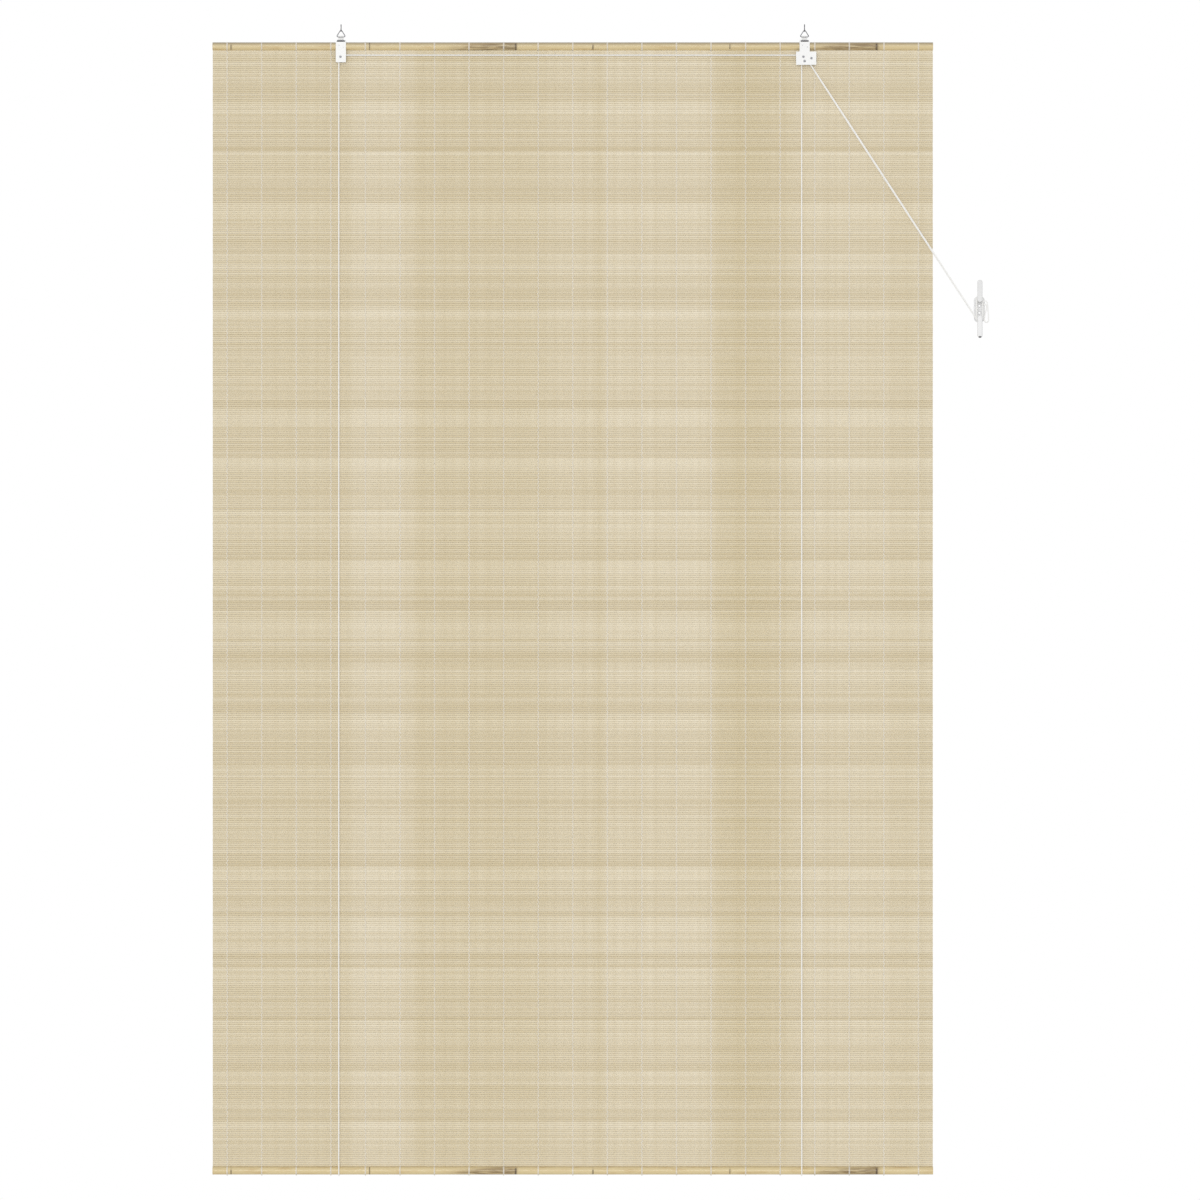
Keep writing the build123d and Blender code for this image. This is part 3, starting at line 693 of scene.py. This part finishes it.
# Slat pins, rivets and nails
# Plain steel: dark pins that lie on the slat between the plates' ears, set rivets, and small nails.
dress(("left_slat_pin", "right_slat_pin"),
      worked_finish("dark_pin_steel", (0.10, 0.10, 0.11), (0.20, 0.20, 0.21), 0.38, 0.08, 0.9, 0.0001))
dress(("rivets",),
      worked_finish("rivet_steel", (0.10, 0.10, 0.11), (0.19, 0.19, 0.20), 0.36, 0.08, 0.9, 0.0001))
dress(("bracket_nails",),
      worked_finish("nail_steel", (0.28, 0.29, 0.29), (0.40, 0.41, 0.41), 0.40, 0.08, 0.7, 0.0001))

# Rollers and pawl
# Moulded white rollers turn on the rivets; the toothed pawl is a steel pressing.
dress(("left_roller", "right_roller", "lock_roller"),
      worked_finish("roller_nylon", (0.74, 0.73, 0.70), (0.82, 0.81, 0.78), 0.45, 0.06, 0.0, 0.0001))
dress(("lock_pawl",),
      worked_finish("pawl_steel", (0.33, 0.33, 0.34), (0.46, 0.46, 0.47), 0.36, 0.08, 0.95, 0.0001))

# Triangles and hooks
# Drawn steel wire, bent cold, its dark colour a painted reflection of dark surroundings: a triangle in each
# bracket's curled tongue, and an open hook that hangs on it by its eye.
# Painted reflection: the wire's base colour is kept dark in place of the dark surroundings it would mirror.
dress(("left_triangle", "right_triangle", "left_hook", "right_hook"),
      worked_finish("wire_painted_dark_reflection", (0.09, 0.09, 0.10), (0.18, 0.18, 0.19), 0.30, 0.08, 0.95, 0.0001,
                    200.0, 2500.0))

# Cords
# One white braided cord, a little over 2 mm thick, knotted to the back plates. It goes down behind the mat,
# under the bottom slat and up the front, over the rollers, and both runs go through the lock to the cleat.
CORD_R = 0.00115
BRAID_REPEAT = 0.004
BRAID_SLANT = 0.785
LEFT_X = -0.4544
RIGHT_X = 0.4448
FRONT_Y = -0.006625
BACK_Y = -0.004525
CORD_START = -0.064376
LIP_Y = 0.0051
LEFT_LIP_Z = -0.070276
RIGHT_LIP_Z = -0.075176
FRONT_CLEAR = 0.0014
BACK_CLEAR = 0.0016
UNDER_CLEAR = 0.0013


def braided_cord():
    """White braid: two slanted waves that cross, laid along the cord by its UV map."""
    finish, tree, shader = new_finish("braided_cord", (0.84, 0.83, 0.78), 0.8)
    wrap = tree.nodes.new("ShaderNodeUVMap")
    strands = []
    for slant in (1.0, -1.0):
        mapping = add_node(tree, "ShaderNodeMapping")
        mapping.inputs["Rotation"].default_value = (0, 0, slant * BRAID_SLANT)
        wave = add_node(tree, "ShaderNodeTexWave")
        wave.inputs["Scale"].default_value = 1.6
        wave.inputs["Distortion"].default_value = 0.4
        tree.links.new(wrap.outputs["UV"], mapping.inputs["Vector"])
        tree.links.new(mapping.outputs["Vector"], wave.inputs["Vector"])
        strands.append(wave.outputs["Fac"])
    braid = reckoned(tree, "MULTIPLY", *strands)
    weave = mixed(tree, braid, (0.91, 0.905, 0.885), (0.985, 0.98, 0.965))
    tree.links.new(weave, shader.inputs["Base Color"])
    bump = add_node(tree, "ShaderNodeBump", Strength=0.3, Distance=0.0002)
    tree.links.new(braid, bump.inputs["Height"])
    tree.links.new(bump.outputs["Normal"], shader.inputs["Normal"])
    shader.inputs["Sheen Weight"].default_value = 0.25
    return finish


def cord_line(points):
    """Points along the smooth line that a cord takes from one guide to the next."""
    curve = bpy.data.curves.new("route", "CURVE")
    curve.dimensions = "3D"
    curve.resolution_u = 10
    spline = curve.splines.new("NURBS")
    spline.points.add(len(points) - 1)
    for spot, place in zip(spline.points, points):
        spot.co = (*place, 1)
    spline.order_u = 3
    spline.use_endpoint_u = True
    holder = bpy.data.objects.new("route", curve)
    bpy.context.collection.objects.link(holder)
    graph = bpy.context.evaluated_depsgraph_get()
    mesh = bpy.data.meshes.new_from_object(holder.evaluated_get(graph))
    line = [v.co.copy() for v in mesh.vertices]
    bpy.data.objects.remove(holder)
    bpy.data.meshes.remove(mesh)
    return line


def cord_piece(name, line, finish, sides=12):
    """Round tube along a line, closed at both ends, with a UV map that runs along it."""
    verts, faces, along = [], [], [0.0]
    for k in range(1, len(line)):
        along.append(along[-1] + (line[k] - line[k - 1]).length)
    lead = (line[1] - line[0]).normalized()
    side = lead.orthogonal().normalized()
    for k, spot in enumerate(line):
        ahead = (line[min(k + 1, len(line) - 1)] - line[max(k - 1, 0)]).normalized()
        side = (side - ahead * side.dot(ahead)).normalized()
        up = ahead.cross(side)
        for s in range(sides):
            turn = 2 * math.pi * s / sides
            verts.append(spot + CORD_R * (math.cos(turn) * side + math.sin(turn) * up))
    for k in range(len(line) - 1):
        for s in range(sides):
            a, b = k * sides + s, k * sides + (s + 1) % sides
            faces.append((a, b, b + sides, a + sides))
    faces.append(list(range(sides))[::-1])
    faces.append([len(verts) - sides + s for s in range(sides)])
    piece = new_piece(name, verts, faces, finish)
    layer = piece.data.uv_layers.new(name="along")
    for face in piece.data.polygons:
        for corner in face.loop_indices:
            at = piece.data.loops[corner].vertex_index
            ring, spoke = divmod(at, sides)
            if spoke == 0 and sides - 1 in [v % sides for v in face.vertices]:
                spoke = sides
            layer.data[corner].uv = (spoke / sides * 2.0, along[ring] / BRAID_REPEAT)
    return piece


CORD_FINISH = braided_cord()


def lift_run(name, x, start_y, lip_z, node):
    """Lift cord from its roller down the front, under the bottom slat and up the back to its knot."""
    front = SLAT_EDGE_Y - SLAT_BULGE - FRONT_CLEAR
    back = SLAT_BACK_Y + BACK_CLEAR
    low = BLIND_LOW - UNDER_CLEAR
    line = cord_line([
        (x, start_y, CORD_START), (x, front - 0.0001, low + 0.020), (x, front, low + 0.008),
        (x, front + 0.0008, low - 0.0002), (x, back + 0.0010, low - 0.0008), (x, back + 0.0002, low + 0.012),
        (x, LIP_Y, lip_z)])
    piece = cord_piece(name, line, CORD_FINISH)
    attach(piece, "head")
    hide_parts(node)
    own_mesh(piece)


lift_run("left_lift_braid", LEFT_X, FRONT_Y, LEFT_LIP_Z, "left_lift_cord")
lift_run("right_lift_braid", RIGHT_X, BACK_Y, RIGHT_LIP_Z, "right_lift_cord")

# The pull runs and their turns on the cleat: the two runs are the legs of one loop, whose bight hangs free.
# Each run's guide points go round the rollers, and below the lock the runs lie side by side.
ROLLER_Z = -0.060376
LEFT_ROLLER_X = -0.4512
RIGHT_ROLLER_X = 0.4480
ROLLER_REACH = 0.0032
CLEAT_X = 0.7905
CLEAT_Z = -0.550276
POST = 0.018
TURN_R = 0.0058
TURN_EASE = 0.0024
CROSS_START = 3
CROSS_STEPS = 9
CROSS_Y = 0.0021
PULL_DEG = 33.1518
LEG_ASIDE = 0.0007
OUT_OF_LOCK = 0.024
BELOW_LOCK = 0.060
AHEAD_OF_CLEAT = 0.012
pull_way = Vector((math.sin(math.radians(PULL_DEG)), 0, -math.cos(math.radians(PULL_DEG))))
pull_side = Vector((-pull_way.z, 0, pull_way.x))
pull_start = Vector((RIGHT_ROLLER_X, 0, ROLLER_Z)) + ROLLER_REACH * pull_side
pull_end = Vector((CLEAT_X, 0, CLEAT_Z - POST)) - TURN_R * pull_side


def round_post(middle, first_deg, step_deg):
    """Four guide points about one of the cleat's posts, which the cord rounds at TURN_R."""
    out = TURN_R / math.cos(math.radians(step_deg / 2))
    turns = [math.radians(first_deg + k * step_deg) for k in range(4)]
    return [(out * math.cos(turn), middle + out * math.sin(turn)) for turn in turns]


def cleat_turns(y0, y1):
    """Guide points of one run round the cleat's posts, from y0 to y1: under, up, over, down, under and up."""
    straight = POST - TURN_EASE
    route = round_post(-POST, first_deg=231.5, step_deg=36.7)
    route += [(TURN_R, -straight), (TURN_R, straight)]
    route += round_post(POST, first_deg=22.5, step_deg=45.0)
    route += [(-TURN_R, straight), (-TURN_R, -straight)]
    route += round_post(-POST, first_deg=202.5, step_deg=45.0)
    route += [(TURN_R, -straight)]
    spots = []
    for k, (x, z) in enumerate(route):
        share = min(max((k - CROSS_START) / CROSS_STEPS, 0), 1)
        spots.append((CLEAT_X + x, y0 + (y1 - y0) * share, CLEAT_Z + z))
    return spots


def by_roller(roller_x, y, offsets):
    """Guide points about a roller, from their places across and up from its axis."""
    return [(roller_x + x, y, ROLLER_Z + z) for x, z in offsets]


def down_to_cleat(y, aside):
    """Guide points of the straight stretch: out of the lock, a little below it, and ahead of the cleat."""
    out = pull_start + OUT_OF_LOCK * pull_way
    below = pull_start + BELOW_LOCK * pull_way + aside * pull_side
    ahead = pull_end - AHEAD_OF_CLEAT * pull_way + aside * pull_side
    return [(spot.x, y, spot.z) for spot in (out, below, ahead)]


left_leg = [(LEFT_X, FRONT_Y, CORD_START)]
left_leg += by_roller(LEFT_ROLLER_X, FRONT_Y, [
    (-ROLLER_REACH, -0.0014), (-ROLLER_REACH, 0.0014), (-0.0014, ROLLER_REACH), (0.0014, ROLLER_REACH),
    (0.0140, ROLLER_REACH)])
left_leg += by_roller(RIGHT_ROLLER_X, FRONT_Y, [
    (-0.0120, ROLLER_REACH), (-0.0008, ROLLER_REACH), (0.0008, ROLLER_REACH), (0.0022, 0.0024),
    (0.0031, 0.0011)])
left_leg += down_to_cleat(FRONT_Y, LEG_ASIDE)
right_leg = [(RIGHT_X, BACK_Y, CORD_START)]
right_leg += by_roller(RIGHT_ROLLER_X, BACK_Y, [
    (-ROLLER_REACH, -0.0011), (-ROLLER_REACH, 0.0011), (-0.0019, 0.0028), (0.0001, 0.0034),
    (0.0021, 0.0026), (0.0033, 0.0009)])
right_leg += down_to_cleat(BACK_Y, -LEG_ASIDE)
left_turns = cleat_turns(FRONT_Y, FRONT_Y - CROSS_Y)
right_turns = cleat_turns(BACK_Y, BACK_Y + CROSS_Y)
# The hanging loop, with places across and up from the cleat's middle.
bight = [(0.0062, -0.0082, 0.0020), (0.0061, -0.0080, 0.0092), (0.0061, -0.0079, 0.0136),
         (0.0103, -0.0076, 0.0164), (0.0145, -0.0072, 0.0136), (0.0152, -0.0069, 0.0088),
         (0.0162, -0.0062, -0.0020), (0.0170, -0.0056, -0.0120), (0.0172, -0.0054, -0.0196),
         (0.0171, -0.0054, -0.0240), (0.0133, -0.0054, -0.0267), (0.0095, -0.0054, -0.0240),
         (0.0093, -0.0053, -0.0196), (0.0104, -0.0051, -0.0110), (0.0124, -0.0046, -0.0030),
         (0.0136, -0.0042, 0.0026), (0.0137, -0.0040, 0.0072), (0.0099, -0.0036, 0.0098),
         (0.0061, -0.0032, 0.0072), (0.0061, -0.0030, 0.0026), (0.0061, -0.0028, -0.0050)]
bight = [(CLEAT_X + x, y, CLEAT_Z + z) for x, y, z in bight]
pull_line = cord_line(left_leg + left_turns + bight + right_turns[::-1] + right_leg[::-1])
pull_cord = cord_piece("pull_cord_braid", pull_line, CORD_FINISH)
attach(pull_cord, "head")
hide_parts("left_pull_cord", "right_pull_cord", "cord_turns", "cord_bight")
dress(("cord_knots",), CORD_FINISH)

# Cleat
# Moulded white plastic: a base with two countersunk screw holes and a horn on a post at each end.
# The lower horn's tip carries painted shade: a dark spot where its underside falls in shadow.
TIP_DROP = 0.0549
TIP_HALF_WIDE = 0.0030
TIP_HALF_HIGH = 0.0021
CLEAT_FINISH = worked_finish("cleat_plastic", (0.74, 0.74, 0.74), (0.81, 0.81, 0.81), 0.26, 0.05, 0.0,
                             0.00005, 30.0, 1500.0)
cleat_tree = CLEAT_FINISH.node_tree
cleat_shader = cleat_tree.nodes["Principled BSDF"]
moulded = cleat_shader.inputs["Base Color"].links[0].from_socket
cleat_place = cleat_tree.nodes.new("ShaderNodeTexCoord")
tip_place = add_node(cleat_tree, "ShaderNodeMapping", vector_type="TEXTURE")
tip_place.inputs["Location"].default_value = (CLEAT_X, 0, CLEAT_Z - TIP_DROP)
tip_place.inputs["Scale"].default_value = (TIP_HALF_WIDE, 1.0, TIP_HALF_HIGH)
cleat_tree.links.new(cleat_place.outputs["Object"], tip_place.inputs["Vector"])
from_tip = add_node(cleat_tree, "ShaderNodeVectorMath", operation="LENGTH")
cleat_tree.links.new(tip_place.outputs["Vector"], from_tip.inputs[0])
# Painted shade: a dark spot on the lower horn's tip, standing for the shadow under it.
tip_shade = ranged(cleat_tree, from_tip.outputs["Value"], 1.1, 0.9)
tip_shaded_colour = mixed(cleat_tree, tip_shade, moulded, (0.10, 0.10, 0.105))
cleat_tree.links.new(tip_shaded_colour, cleat_shader.inputs["Base Color"])
dress(("cleat",), CLEAT_FINISH)

# Studio
# Pale floor well below the hung blind, fading to white in the distance, and a white surround.
# One broad lamp stands in front, a little to the left and above.
FLOOR_Z = -2.6
FLOOR_HALF = 4
FLOOR_BACK = 3.0
floor_finish, floor_tree, floor_shader = new_finish("pale_floor", (0.90, 0.90, 0.89), 0.9)
floor_grain = stretched_noise(floor_tree, (1.0, 1.0, 1.0), 6.0)
floor_tone = mixed(floor_tree, floor_grain, (0.89, 0.89, 0.88), (0.92, 0.92, 0.91))
floor_tree.links.new(floor_tone, floor_shader.inputs["Base Color"])
floor_place = floor_tree.nodes.new("ShaderNodeTexCoord")
floor_flat = add_node(floor_tree, "ShaderNodeVectorMath", operation="MULTIPLY")
floor_flat.inputs[1].default_value = (1, 1, 0)
floor_tree.links.new(floor_place.outputs["Object"], floor_flat.inputs[0])
floor_away = add_node(floor_tree, "ShaderNodeVectorMath", operation="LENGTH")
floor_tree.links.new(floor_flat.outputs[0], floor_away.inputs[0])
floor_fade = add_node(floor_tree, "ShaderNodeMapRange", interpolation_type="SMOOTHSTEP")
floor_fade.inputs["From Min"].default_value = 0.9
floor_fade.inputs["From Max"].default_value = 2.9
floor_tree.links.new(floor_away.outputs["Value"], floor_fade.inputs["Value"])
floor_seen = floor_tree.nodes.new("ShaderNodeLightPath")
floor_white = reckoned(floor_tree, "MULTIPLY", floor_fade.outputs["Result"],
                       floor_seen.outputs["Is Camera Ray"])
floor_glow = floor_tree.nodes.new("ShaderNodeEmission")
floor_mix = floor_tree.nodes.new("ShaderNodeMixShader")
floor_tree.links.new(floor_white, floor_mix.inputs[0])
floor_tree.links.new(floor_shader.outputs[0], floor_mix.inputs[1])
floor_tree.links.new(floor_glow.outputs[0], floor_mix.inputs[2])
floor_tree.links.new(floor_mix.outputs[0], floor_tree.nodes["Material Output"].inputs["Surface"])
floor_corners = [(-FLOOR_HALF, -FLOOR_HALF, FLOOR_Z), (FLOOR_HALF, -FLOOR_HALF, FLOOR_Z),
                 (FLOOR_HALF, FLOOR_BACK, FLOOR_Z), (-FLOOR_HALF, FLOOR_BACK, FLOOR_Z)]
floor = new_piece("floor", floor_corners, [(0, 1, 2, 3)], floor_finish)

world = bpy.data.worlds.new("surround")
bpy.context.scene.world = world
world.use_nodes = True
sky = world.node_tree
sky_light = sky.nodes["Background"]
sky_light.inputs["Color"].default_value = (1, 1, 1, 1)
sky_light.inputs["Strength"].default_value = 0.72
seen = sky.nodes.new("ShaderNodeBackground")
seen.inputs["Color"].default_value = (1, 1, 1, 1)
seen.inputs["Strength"].default_value = 1.0
path = sky.nodes.new("ShaderNodeLightPath")
any_seen = reckoned(sky, "MAXIMUM", path.outputs["Is Camera Ray"], path.outputs["Is Glossy Ray"])
any_seen = reckoned(sky, "MAXIMUM", any_seen, path.outputs["Is Transmission Ray"])
choose = sky.nodes.new("ShaderNodeMixShader")
sky.links.new(any_seen, choose.inputs[0])
sky.links.new(sky_light.outputs[0], choose.inputs[1])
sky.links.new(seen.outputs[0], choose.inputs[2])
sky.links.new(choose.outputs[0], sky.nodes["World Output"].inputs["Surface"])

lamp = bpy.data.lights.new("key", "SUN")
lamp.energy = 0.867
lamp.angle = math.radians(28)
key = bpy.data.objects.new("key", lamp)
key.rotation_euler = Vector((0.14, 0.92, -0.16)).to_track_quat("-Z", "Y").to_euler()
bpy.context.collection.objects.link(key)

# Camera
# Straight on, from far off through a long lens, with the blind left of the middle as in the photograph.
CAMERA_X = 0.0529
CAMERA_FAR = 12.957
CAMERA_DROP = 1.0836
lens = bpy.data.cameras.new("camera")
lens.lens = 200
lens.sensor_width = 36
lens.clip_end = 100
camera = bpy.data.objects.new("camera", lens)
camera.location = (CAMERA_X, -CAMERA_FAR, SLAT_TOP - CAMERA_DROP)
camera.rotation_euler = (math.pi / 2, 0, 0)
bpy.context.collection.objects.link(camera)
bpy.context.scene.camera = camera
